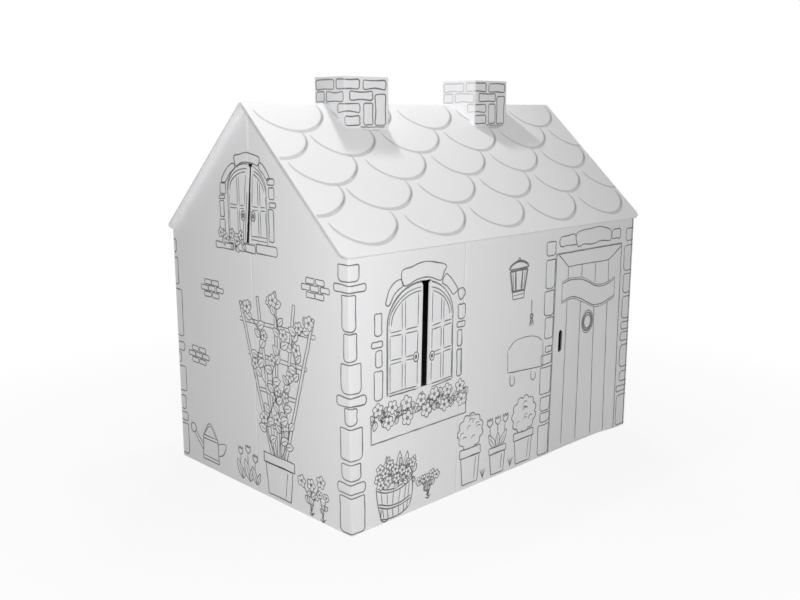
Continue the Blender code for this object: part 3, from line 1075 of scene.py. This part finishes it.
sprigLooks = {
    "length": (0.74, 1.0),
    "bend": (0.3, 0.4),
    "leaves": ((0.22, -1), (0.40, 1)),
    "leafReach": (0.12, 0.22),
    "leafRise": 0.22,
    "fat": 0.34,
    "blossom": 0.19,
    "ground": (
        ((-0.010, -0.002), (0.0, -0.008), (0.011, 0.002)),
        ((-0.006, 0.006), (0.006, -0.006)),
    ),
}
potLooks = {
    "rim": 0.24,
    "shoulder": 0.44,
    "foot": 0.36,
    "corners": {"head": 0.004, "foot": 0.004},
    "shine": (0.55, 0.006, 0.75, 0.005),
}
bushLooks = {
    "puffs": 11,
    "steps": 8,
    "reach": (0.86, 0.14),
    "inner": 9,
    "innerReach": (0.02, 0.5),
    "innerSize": (0.17, 0.15),
    "innerTurn": (10, 60),
    "innerSweep": 150.0,
}
tulipHalf = ((0.42, 0.35), (0.40, 1.0), (0.14, 0.68))
tulipCrown = 1.05
frontPlants = {
    "sprig": {"x": 0.262, "y": 0.026, "height": 0.064, "seed": 31, "count": 5, "spread": 0.25},
    "leftBush": {"centre": (0.425, 0.158), "size": 0.052, "seed": 3},
    "leftPot": {"middle": 0.425, "bottom": 0.012, "width": 0.084, "height": 0.100},
    "tulipPot": {"middle": 0.540, "bottom": 0.008, "width": 0.074, "height": 0.078},
    "rightBush": {"centre": (0.655, 0.152), "size": 0.056, "seed": 4},
    "rightPot": {"middle": 0.655, "bottom": 0.010, "width": 0.090, "height": 0.092},
    "tufts": (0.478, 0.598),
    "blades": (-0.012, -0.004, 0.005, 0.013),
    "bladeLevels": (0.010, 0.026, 0.038),
}
potTulips = {
    "root": (0.540, 0.080),
    "stems": (0.512, 0.540, 0.566),
    "levels": (0.110, 0.150),
    "lean": 0.006,
    "leafRoot": (0.008, 0.082),
    "leafTip": (0.012, 0.128),
    "fat": 0.2,
    "cup": (0.148, 0.026),  # height, size
}


def pointAlong(line, share):
    spot = share * (len(line) - 1)
    i = min(int(spot), len(line) - 2)
    return [a + (b - a) * (spot - i) for a, b in zip(line[i], line[i + 1])]


def drawBarrel(sheet):
    rim, hoop, foot = (bend(barrel[name]) for name in ("rim", "hoop", "foot"))
    for side in barrel["sides"]:
        sheet.curve(side)
    for line in (rim, hoop):
        sheet.line(line, ink["firm"])
        sheet.line([(x, y - barrel["band"]) for x, y in line], ink["firm"])
    sheet.line(foot, ink["firm"])
    for share in barrel["staves"]:
        for upper, lower in ((rim, hoop), (hoop, foot)):
            x, y = pointAlong(upper, share)
            sheet.line([(x, y - barrel["band"]), pointAlong(lower, share)], ink["thin"])
    sheet.curve(barrel["lug"])
    for x, y, lean in barrel["blades"]:
        leaf(sheet, (x, y), (x + lean, y + barrel["bladeLength"]), barrel["bladeFat"])
    drawBed(sheet, barrel["bed"], random.Random(barrel["seed"]))


def drawSprig(sheet, x, y, height, seed, count, spread=0.42):
    # flowers on stems that fan out from one root
    looks = sprigLooks
    chance = random.Random(seed)
    along, up = looks["bend"]
    for i in range(count):
        lean = (i - (count - 1) / 2) * height * spread
        top = (x + lean, y + height * chance.uniform(*looks["length"]))
        sheet.curve([(x, y), (x + lean * along, y + height * up), top])
        for low, side in looks["leaves"]:
            root = (x + lean * low, y + height * low)
            reach = side * height * chance.uniform(*looks["leafReach"])
            leaf(sheet, root, (root[0] + reach, root[1] + height * looks["leafRise"]), looks["fat"])
        blossom(sheet, top, height * looks["blossom"], chance)
    for line in looks["ground"]:
        sheet.line([(x + shift, y + rise) for shift, rise in line], ink["bold"])


def drawPot(sheet, middle, bottom, width, height):
    looks = potLooks
    top = bottom + height
    brim = top - height * looks["rim"]
    slim = width * looks["foot"]
    low, clearFoot, high, clearBrim = looks["shine"]
    sheet.line(mirrored(middle, ((width * looks["shoulder"], brim), (slim, bottom))), closed=True, cover=True)
    rim = stone(middle - width / 2, middle + width / 2, brim, top, **looks["corners"])
    sheet.line(rim, closed=True, cover=True)
    shine = [(middle + slim * low, bottom + clearFoot), (middle + slim * high, brim - clearBrim)]
    sheet.line(shine, ink["thin"])


def drawBush(sheet, centre, size, seed):
    # a clipped bush: a ring of puffs and a few more inside it
    looks = bushLooks
    chance = random.Random(seed)
    count = looks["puffs"] * looks["steps"]
    near, more = looks["reach"]
    outline = []
    for i in range(count):
        turn = 2 * math.pi * i / count
        reach = size * (near + more * abs(math.sin(looks["puffs"] * turn / 2)))
        outline.append(around(centre, reach, turn))
    sheet.line(outline, closed=True, cover=True)
    wide, high = looks["innerSize"]
    for _ in range(looks["inner"]):
        turn = chance.uniform(*anyTurn)
        spot = around(centre, size * math.sqrt(chance.uniform(*looks["innerReach"])), turn)
        start = chance.uniform(*looks["innerTurn"])
        sheet.line(oval(spot, size * wide, size * high, start, looks["innerSweep"], 8), ink["light"])


def tulip(sheet, foot, size):
    x, y = foot
    half = [(size * out, y + size * up) for out, up in tulipHalf]
    cup = [foot, *mirrored(x, half, y + size * tulipCrown)]
    sheet.line(cup, closed=True, cover=True, wobble=0.5)


def drawPotTulips(sheet):
    looks = potTulips
    middle = looks["root"][0]
    bendLevel, top = looks["levels"]
    (rootReach, rootLevel), (tipReach, tipLevel) = looks["leafRoot"], looks["leafTip"]
    level, size = looks["cup"]
    for side, x in zip((-1, 0, 1), looks["stems"]):
        head = x + side * looks["lean"]
        sheet.curve([looks["root"], (x, bendLevel), (head, top)])
        leaf(sheet, (middle + side * rootReach, rootLevel), (x + side * tipReach, tipLevel), looks["fat"])
        tulip(sheet, (head, level), size)


def drawFrontPlants(sheet):
    plants = frontPlants
    drawBarrel(sheet)
    drawSprig(sheet, **plants["sprig"])
    drawBush(sheet, **plants["leftBush"])
    drawPot(sheet, **plants["leftPot"])
    drawPotTulips(sheet)
    drawPot(sheet, **plants["tulipPot"])
    drawBush(sheet, **plants["rightBush"])
    drawPot(sheet, **plants["rightPot"])
    low, middle, high = plants["bladeLevels"]
    for x in plants["tufts"]:
        for lean in plants["blades"]:
            sheet.curve([(x, low), (x + lean * 0.5, middle), (x + lean, high)], ink["thin"])


plantsPrint = Print("print_front_plants")
drawFrontPlants(plantsPrint)
plantsPrint.finish()


# Gable window and its stones; distances to the left of the near corner are negative
gableWindow = {
    "archStones": (
        ((-0.436, 0.881), (-0.410, 0.888), (-0.383, 0.893), (-0.356, 0.888), (-0.329, 0.881), (-0.334, 0.862),
         (-0.356, 0.866), (-0.384, 0.869), (-0.406, 0.866), (-0.428, 0.858)),
        ((-0.441, 0.864), (-0.469, 0.851), (-0.488, 0.832), (-0.496, 0.816), (-0.478, 0.816), (-0.458, 0.836),
         (-0.434, 0.852)),
        ((-0.325, 0.869), (-0.305, 0.855), (-0.288, 0.834), (-0.299, 0.829), (-0.314, 0.842),
         (-0.332, 0.856)),
    ),
    "stones": (
        (-0.300, -0.270, 0.817, 0.833), (-0.293, -0.272, 0.782, 0.812), (-0.294, -0.266, 0.763, 0.775),
        (-0.297, -0.276, 0.677, 0.757), (-0.504, -0.478, 0.784, 0.812), (-0.510, -0.484, 0.771, 0.780),
        (-0.508, -0.488, 0.724, 0.767), (-0.510, -0.486, 0.676, 0.718), (-0.533, -0.450, 0.641, 0.658),
        (-0.445, -0.356, 0.641, 0.663), (-0.350, -0.265, 0.643, 0.667),
    ),
    "stoneSeed": 140,
    "stoneShape": {"head": 0.005, "foot": 0.006},
    "bars": ((0.7595, 0.7515), (0.685, 0.676)),
    "stiles": ((-0.464, -0.4275, -0.4195), (-0.308, -0.330, -0.338)),
    "arcs": ((0.004, 0.013), (0.012, 0.022)),
    "edge": 0.0014,
    "knobs": ((-0.4045, 0.734), (-0.3607, 0.7355)),
    "eye": 0.0055,
    "head": 0.8655,
    "spring": 0.7955,
    "halfWidth": 0.085,
    "centre": -0.3865,
    "slitHead": (-0.3742, -0.3637),
    "slitFoot": (-0.3982, -0.3838),
    "slitShade": 0.0026,
    # widths of the painted shade line along each shutter's cut, left and right
    "frame": (0.0026, 0.0020),
    "margins": (0.0105, 0.0085),
    "lean": 0.0,
    "sill": 0.6655,
}
sillFlowers = {
    "leaves": 10,
    "across": (-0.516, -0.412),
    "up": (0.650, 0.676),
    "lean": (-0.018, 0.018),
    "rise": (-0.016, 0.026),
    "fat": 0.36,
    "berry": (0.0022, 0.0034),
    "berryDrop": 0.0,
    "blossom": 0.0135,
    "blossoms": ((-0.508, 0.682), (-0.484, 0.668), (-0.458, 0.684), (-0.436, 0.666), (-0.416, 0.682)),
    "seed": 21,
}

gablePrint = Print("print_gable_window")
drawWindow(gablePrint, gableWindow)
drawBed(gablePrint, sillFlowers, random.Random(sillFlowers["seed"]))
gablePrint.finish()


# The gable's middle crease above the window, painted white as a highlight where the fold catches the light
crease = {
    "low": 0.898,
    "high": 1.006,
    "width": 0.0095,
    # tones of the painted highlight, varied by the fibres
    "pale": (0.98, 0.98, 0.98),
    "worn": (0.94, 0.94, 0.94),
    "roughness": (0.55, 0.10),
    "bump": 0.0002,
}


def makeCreaseHighlight():
    finish = Finish("crease_painted_highlight")
    fibres = fibreNoise(finish)
    least, fibrous = crease["roughness"]
    return finish.set(
        Base_Color=finish.blend(fibres, crease["pale"], crease["worn"]),
        Roughness=fibres * fibrous + least,
        Normal=finish.bump(fibres, crease["bump"]),
    )


creaseHighlightRibbon = Print("gable_crease_painted_highlight", material=makeCreaseHighlight(), slot="wall_board")
gableMiddle = -house["width"] / 2
creaseHighlightRibbon.line([(gableMiddle, crease["low"]), (gableMiddle, crease["high"])], crease["width"], wobble=0.2)
creaseHighlightRibbon.finish()


# Garden on the gable: a fan trellis with a climbing plant, a watering can, brick patches and tulips
trellis = {
    "foot": (-0.280, 0.120),
    "top": 0.500,
    "footDrop": 0.02,
    "crown": (0.045, 0.01),
    "spread": 0.150,
    "footSpread": 0.022,
    "laths": 5,
    "lath": 0.010,
    "rails": (0.200, 0.290, 0.380, 0.465),
    "railReach": 0.020,
    "pot": {"middle": -0.280, "bottom": 0.012, "width": 0.130, "height": 0.110},
    "seed": 9,
}
climber = {
    "stems": (
        ((-0.285, 0.110), (-0.330, 0.190), (-0.300, 0.270), (-0.360, 0.350), (-0.345, 0.430),
         (-0.400, 0.490)),
        ((-0.275, 0.110), (-0.235, 0.200), (-0.262, 0.290), (-0.200, 0.360), (-0.215, 0.440),
         (-0.150, 0.485)),
        ((-0.280, 0.110), (-0.268, 0.210), (-0.300, 0.330), (-0.262, 0.420), (-0.290, 0.520)),
    ),
    "leafStep": 0.028,
    "leafTurn": (0.2, 1.1),
    "leafLength": (0.030, 0.038),
    "fat": 0.36,
    "everyBlossom": 3,
    "blossomShift": (0.014, 0.006),
    "blossom": (0.014, 0.018),
    "tips": ((-0.402, 0.500), (-0.148, 0.496), (-0.290, 0.532)),
    "tipBlossom": 0.019,
}
can = {
    "grip": ((-0.570, 0.078), (-0.524, 0.090), (-0.536, 0.058), (-0.564, 0.0444)),
    "handle": ((-0.636, 0.094), (-0.600, 0.1324), (-0.564, 0.094)),
    "handleInside": ((-0.632, 0.096), (-0.600, 0.1244), (-0.570, 0.096)),
    "spout": ((-0.634, 0.0396), (-0.6896, 0.0956), (-0.680, 0.102), (-0.634, 0.0588)),
    "rose": (-0.6864, 0.1012),
    "roseSize": (0.0136, 0.0136),
    "body": ((-0.636, 0.094), (-0.640, 0.022), (-0.560, 0.022), (-0.564, 0.094)),
    "hoops": (((-0.639, 0.03208), (-0.561, 0.03208)), ((-0.639, 0.08392), (-0.561, 0.08392))),
}
bricks = {
    "patches": ((-0.560, 0.500, 200), (-0.120, 0.560, 240), (-0.640, 0.300, 280)),  # x, y, seed
    "rows": (2, 3, 2),
    "pitch": (0.036, 0.017),
    "size": (0.033, 0.014),
    "shift": (-0.002, 0.002),
    "corners": {"head": 0.004, "foot": 0.004},
}
gableTulips = {
    "plants": ((-0.452, 0.070), (-0.418, 0.082), (-0.386, 0.064)),  # x, height
    "ground": 0.014,
    "root": 0.006,
    "bend": (-0.002, 0.6),
    "leafRoot": 0.016,
    "leaves": ((-0.016, 0.020, 0.7), (0.022, 0.018, 0.55)),
    "fat": 0.2,
    "cup": (0.012, 0.024),  # height at no stem, size
}
gableSprigs = (
    {"x": -0.150, "y": 0.014, "height": 0.090, "seed": 51, "count": 3},
    {"x": -0.105, "y": 0.010, "height": 0.060, "seed": 52, "count": 2},
)


def lathSides(start, end):
    # the two long sides of a lath
    run = Vector((end[0] - start[0], end[1] - start[1])).normalized()
    side = Vector((-run.y, run.x)) * trellis["lath"] / 2
    return [[(x + sign * side.x, y + sign * side.y) for x, y in (start, end)] for sign in (-1, 1)]


def drawTrellis(sheet):
    shape = trellis
    footX, footY = shape["foot"]
    middle = (shape["laths"] - 1) / 2
    for height in shape["rails"]:
        share = (height - footY) / (shape["top"] - footY)
        reach = shape["railReach"] + shape["spread"] * share
        one, other = lathSides((footX - reach, height), (footX + reach, height))
        for line in (one, other, (one[1], other[1])):
            sheet.line(line, ink["fine"])
    arch, clear = shape["crown"]
    for i in range(shape["laths"]):
        lean = (i - middle) / middle
        foot = (footX + lean * shape["footSpread"], footY - shape["footDrop"])
        top = (footX + lean * shape["spread"], shape["top"] + arch * (1 - abs(lean)) + clear)
        one, other = lathSides(foot, top)
        sheet.line([one[0], other[0], other[1], one[1]], ink["fine"], closed=True, cover=True)
    drawClimber(sheet, random.Random(shape["seed"]))
    drawPot(sheet, **shape["pot"])


def drawClimber(sheet, chance):
    shape = climber
    shiftX, shiftY = shape["blossomShift"]
    for stem in shape["stems"]:
        path = evenly(bend(stem), False, shape["leafStep"])
        sheet.curve(stem)
        for i, (x, y) in enumerate(path[2:]):
            side = -1 if i % 2 else 1
            turn = chance.uniform(*shape["leafTurn"])
            length = chance.uniform(*shape["leafLength"])
            tip = (x + side * length * math.cos(turn), y + length * math.sin(turn))
            leaf(sheet, (x, y), tip, shape["fat"])
            if i % shape["everyBlossom"] == shape["everyBlossom"] - 1:
                spot = (x - side * shiftX, y + shiftY)
                blossom(sheet, spot, chance.uniform(*shape["blossom"]), chance)
    for spot in shape["tips"]:
        blossom(sheet, spot, shape["tipBlossom"], chance)


def drawCan(sheet):
    # a plain watering can
    sheet.curve(can["grip"])
    sheet.curve(can["handle"])
    sheet.curve(can["handleInside"], ink["thin"])
    sheet.line(can["spout"], closed=True, cover=True)
    sheet.line(oval(can["rose"], *can["roseSize"], count=16), closed=True, cover=True)
    sheet.line(can["body"], closed=True, cover=True)
    for hoop in can["hoops"]:
        sheet.line(hoop, ink["fine"])


def drawBricks(sheet, x, y, seed):
    # bare bricks where the plaster has gone
    chance = random.Random(seed)
    pitch, rise = bricks["pitch"]
    width, height = bricks["size"]
    for row, count in enumerate(bricks["rows"]):
        for i in range(count):
            left = x + (i - count / 2) * pitch + chance.uniform(*bricks["shift"])
            low = y + row * rise
            block = (left, left + width, low, low + height)
            brick = stone(*block, seed=seed + 10 * row + i, **bricks["corners"])
            sheet.line(brick, ink["fine"], closed=True)


def drawGableTulips(sheet):
    looks = gableTulips
    bendShift, bendShare = looks["bend"]
    cupLevel, cupSize = looks["cup"]
    for x, height in looks["plants"]:
        foot, low = x + looks["root"], looks["ground"]
        sheet.curve([(foot, low), (x + bendShift, low + height * bendShare), (x, low + height)])
        for shift, rise, share in looks["leaves"]:
            leaf(sheet, (foot, looks["leafRoot"]), (x + shift, rise + height * share), looks["fat"])
        tulip(sheet, (x, cupLevel + height), cupSize)


def drawGableGarden(sheet):
    drawTrellis(sheet)
    drawCan(sheet)
    for patch in bricks["patches"]:
        drawBricks(sheet, *patch)
    drawGableTulips(sheet)
    for sprig in gableSprigs:
        drawSprig(sheet, **sprig)


gardenPrint = Print("print_gable_garden")
drawGableGarden(gardenPrint)
gardenPrint.finish()


# Roof tiles: rows of overlapping scallops in a pale line, with a dark accent on the right of each
tiles = {
    "pitch": 0.2425,
    "middle": -0.0045,
    "feet": (0.1115, 0.2035, 0.2945, 0.3890, 0.4885),
    "columns": (-3, 3),
    "rakeShift": 0.017,
    "scallop": ((-0.098, -0.082), (-0.092, -0.058), (-0.076, -0.036), (-0.050, -0.017), (-0.016, -0.005),
                (0.024, -0.005), (0.062, -0.019), (0.091, -0.041), (0.106, -0.063), (0.109, -0.084),
                (0.104, -0.096)),
    "thin": 0.0080,
    "heavy": 0.0110,
    "swell": (0.32, 0.94),
    "accent": 0.0034,
    "accentSpan": (0.66, 0.93),
    "accentLift": 0.0004,
    "sway": (0.004, 0.003),
    "swayScale": (9, 3.1, 1.7),  # along a scallop, from row to row, from column to column
    "tip": 0.3,
    "growth": 0.1,
    "least": 4,
    "ridge": 0.012,
    "rim": 0.003,
}


def hump(share, span):
    # rises from 0 at the start of a span to 1 and back
    low, high = span
    return math.sin(math.pi * (share - low) / (high - low)) if low < share < high else 0.0


def shadeWidth(share):
    return tiles["thin"] + (tiles["heavy"] - tiles["thin"]) * hump(share, tiles["swell"])


def accentWidth(share):
    return tiles["accent"] * hump(share, tiles["accentSpan"])


def drawTile(sheet, side, widthAt, row, column):
    odd = row % 2
    first = tiles["columns"][0]
    scale, rowStep, columnStep = tiles["swayScale"]
    swayX, swayY = tiles["sway"]
    centre = tiles["middle"] + (tiles["pitch"] / 2 if odd else 0.0) + tiles["pitch"] * column
    if odd and column == first:
        centre += tiles["rakeShift"]
    path = evenly(bend(tiles["scallop"]), False, ink["step"])
    last = len(path) - 1
    stroke = []
    for i, (x, down) in enumerate(path):
        width = widthAt(i / last)
        ends = min(1.0, tiles["tip"] + tiles["growth"] * min(i, last - i))
        shift = noise.noise_vector(Vector((x * scale, row * rowStep, column * columnStep + side)))
        along = centre + x + swayX * shift.x
        down = tiles["feet"][row] + down + swayY * shift.y
        shown = abs(along) < roofHigh.x - tiles["rim"] and down > tiles["ridge"] and width > 0.0
        stroke.append(((along, side * down), ends * width) if shown else None)
    sheet.strips(stroke, tiles["least"])


def drawTiles(sheet, side, widthAt):
    first, last = tiles["columns"]
    for row in range(len(tiles["feet"])):
        for column in range(first, last + 1):
            drawTile(sheet, side, widthAt, row, column)


roofPrint = Print("print_roof_tiles", roofSkin, onRoof, roofInk)
accentPrint = Print("print_tile_accents", roofSkin, onRoof, accentInk, lift=tiles["accentLift"])
for side in (1, -1):
    drawTiles(roofPrint, side, shadeWidth)
    drawTiles(accentPrint, side, accentWidth)
roofPrint.finish()
accentPrint.finish()


# Chimney stones: left, right, bottom, top from the front left corner and the floor
chimneyStones = {
    "front": (
        (-0.123, -0.045, 1.050, 1.073), (-0.036, 0.049, 1.051, 1.074), (0.061, 0.139, 1.050, 1.073),
        (-0.123, -0.087, 1.018, 1.043), (-0.078, -0.006, 1.019, 1.043), (0.016, 0.094, 1.022, 1.044),
        (-0.030, 0.050, 0.991, 1.012), (0.000, 0.050, 0.958, 0.981), (0.062, 0.094, 0.958, 1.013),
        (0.101, 0.138, 0.957, 1.036),
    ),
    "rows": (1.050, 1.020, 0.990),
    "inRow": 5,
    "size": (0.045, 0.026),
    "pitch": 0.052,
    "rowShift": 0.022,
    "margin": 0.006,
    "footLine": ((0.050, 0.9515), (0.136, 0.9515)),
    "drop": 0.0015,
    "shape": {"head": 0.007, "foot": 0.007, "waist": 0.0032},
    "pen": 0.00336,
}


def drawChimneyStone(sheet, block, seed):
    left, right, bottom, top = block
    outline = stone(left, right, bottom - chimneyStones["drop"], top, seed=seed, **chimneyStones["shape"])
    sheet.line(outline, chimneyStones["pen"], closed=True, wobble=0.8)


def drawChimney(sheet, seed):
    stones = chimneyStones
    width, depth = chimneySize
    for i, block in enumerate(stones["front"]):
        drawChimneyStone(sheet, block, seed + i)
    # the right and back faces, in plain bond down to the roof
    start, end = width + stones["margin"], 2 * width + depth - stones["margin"]
    length, height = stones["size"]
    for row, low in enumerate(stones["rows"]):
        for i in range(stones["inRow"]):
            left = start + stones["rowShift"] * (row % 2) + i * stones["pitch"]
            block = (left, min(left + length, end), low, low + height)
            drawChimneyStone(sheet, block, seed + 20 + stones["inRow"] * row + i)
    sheet.line(stones["footLine"])


for name, looks in chimneys.items():
    chimneyInk = makeInkFinish(f"{name}_ink", litSideTone=looks["litSideTone"])
    chimneyPrint = Print(f"print_{name}", skin(name), onChimney(name), chimneyInk)
    drawChimney(chimneyPrint, looks["seed"])
    chimneyPrint.finish()


# Floor, light and camera
floor = {
    "size": 12.0,
    "drop": 0.0005,
    "pale": (0.82, 0.82, 0.82),
    "roughness": 0.9,
    "shadow": 0.15,
    "fade": (0.6, 1.2),  # where the shadow starts to fade, and over what distance
    "inset": 0.012,
}


def makeFloor():
    half = floor["size"] / 2
    corners = ((-half, -half), (half, -half), (half, half), (-half, half))
    mesh = bpy.data.meshes.new("floor")
    mesh.from_pydata([(x, y, -floor["drop"]) for x, y in corners], [], [(0, 1, 2, 3)])
    piece = addObject("floor", mesh)
    finish = Finish("floor_pale")
    finish.set(Base_Color=floor["pale"], Roughness=floor["roughness"])
    glow = finish.node("Emission", None, {"Color": (1, 1, 1), "Strength": 1.0})
    x, y = finish.axes(finish.place())[:2]
    start, span = floor["fade"]
    far = ((x * x + y * y).math("SQRT") - start) / span
    keep = (1.0 - far.clamped()) * floor["shadow"]
    # the ground inside the house is as dark as it is, and doesn't shine out of the openings
    indoors = abs(x).below(house["length"] / 2 - floor["inset"])
    indoors = indoors * abs(y).below(house["width"] / 2 - floor["inset"])
    share = finish.seen() * (1.0 - keep) * (1.0 - indoors)
    shaded = Socket(finish, finish.shader.outputs[0])
    mix = finish.node("MixShader", None, {0: share, 1: shaded, 2: glow})
    finish.plug(finish.tree.nodes["Material Output"].inputs[0], mix)
    piece.data.materials.append(finish.material)


lamps = {
    "overhead": {"place": (-0.12, 0.19, 1.85), "aim": (-0.12, 0, 0.9), "size": 0.09, "power": 5.8},
    "flash": {"place": (-1.9, -1.9, 1.3), "aim": (0, 0, 0.5), "size": 0.6, "power": 39.8},
    "sky": {"place": (0.9, -0.3, 3.0), "aim": (0.2, 0, 0.5), "size": 2.0, "power": 8.8},
    "behind": {"place": (2.1, 2.3, 1.5), "aim": (0, 0, 0.5), "size": 1.2, "power": 42.0},
}
surround = 0.172


def makeLight():
    for name, looks in lamps.items():
        data = bpy.data.lights.new(name, "AREA")
        data.shape = "DISK"
        data.size = looks["size"]
        data.energy = looks["power"]
        lamp = addObject(name, data)
        lamp.location = looks["place"]
        aim = Vector(looks["aim"]) - lamp.location
        lamp.rotation_euler = aim.to_track_quat("-Z", "Y").to_euler()
    world = bpy.data.worlds.new("studio")
    bpy.context.scene.world = world
    world.use_nodes = True
    nodes = NodeTree(world.node_tree)
    back = nodes.tree.nodes["Background"]
    nodes.plug(back.inputs["Color"], (1, 1, 1))
    nodes.plug(back.inputs["Strength"], nodes.seen() * (1.0 - surround) + surround)


view = {
    "yaw": 44.144,
    "pitch": 11.5556,
    "roll": 0.0228,
    "place": (-1.93214, -1.92261, 0.99409),
    "lens": 41.671,
    "film": 36.0,
}


def makeCamera():
    yaw, pitch, roll = (math.radians(view[name]) for name in ("yaw", "pitch", "roll"))
    ahead = Vector((math.sin(yaw) * math.cos(pitch), math.cos(yaw) * math.cos(pitch), -math.sin(pitch)))
    right = Vector((math.cos(yaw), -math.sin(yaw), 0))
    up = right.cross(ahead)
    tiltedRight = right * math.cos(roll) + up * math.sin(roll)
    tiltedUp = up * math.cos(roll) - right * math.sin(roll)
    data = bpy.data.cameras.new("camera")
    data.lens = view["lens"]
    data.sensor_width = view["film"]
    camera = addObject("camera", data)
    turn = Matrix((tiltedRight, tiltedUp, -ahead)).transposed()
    camera.matrix_world = Matrix.Translation(view["place"]) @ turn.to_4x4()
    bpy.context.scene.camera = camera


makeFloor()
makeLight()
makeCamera()
print("floor, light and camera made")
